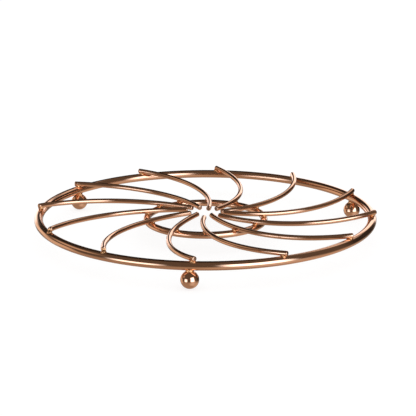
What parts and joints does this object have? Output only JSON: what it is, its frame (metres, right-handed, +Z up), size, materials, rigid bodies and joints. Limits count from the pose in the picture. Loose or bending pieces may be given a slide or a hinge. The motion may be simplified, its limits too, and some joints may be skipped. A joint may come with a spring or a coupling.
{
  "type": "trivet",
  "caption": "Round wire trivet: curved spokes welded across an outer ring and a small inner ring, on ball feet. Polished rose-gold plated steel.",
  "frame": {"origin": "on the table, under the middle of the rim", "axes": "+Z up, from the feet to the spokes; -Y towards foot_01; +X to the right seen from foot_01"},
  "size_m": [0.2001, 0.2025, 0.0183],
  "materials": {
    "plating": "polished rose-gold plating over drawn steel wire",
    "weld": "plated weld beads, slightly duller than the wire"
  },
  "bodies": {
    "root": {"rim": "plating", "small_ring": "plating", "spoke_01": "plating", "spoke_02": "plating", "spoke_03": "plating", "spoke_04": "plating", "spoke_05": "plating", "spoke_06": "plating", "spoke_07": "plating", "spoke_08": "plating", "spoke_09": "plating", "spoke_10": "plating", "spoke_11": "plating", "spoke_12": "plating", "foot_01": "plating", "foot_02": "plating", "foot_03": "plating", "rim_weld_01": "weld", "rim_weld_02": "weld", "rim_weld_03": "weld", "rim_weld_04": "weld", "rim_weld_05": "weld", "rim_weld_06": "weld", "rim_weld_07": "weld", "rim_weld_08": "weld", "rim_weld_09": "weld", "rim_weld_10": "weld", "rim_weld_11": "weld", "rim_weld_12": "weld", "ring_weld_01": "weld", "ring_weld_02": "weld", "ring_weld_03": "weld", "ring_weld_04": "weld", "ring_weld_05": "weld", "ring_weld_06": "weld", "ring_weld_07": "weld", "ring_weld_08": "weld", "ring_weld_09": "weld", "ring_weld_10": "weld", "ring_weld_11": "weld", "ring_weld_12": "weld", "foot_weld_01": "weld", "foot_weld_02": "weld", "foot_weld_03": "weld"}
  },
  "joints": []
}
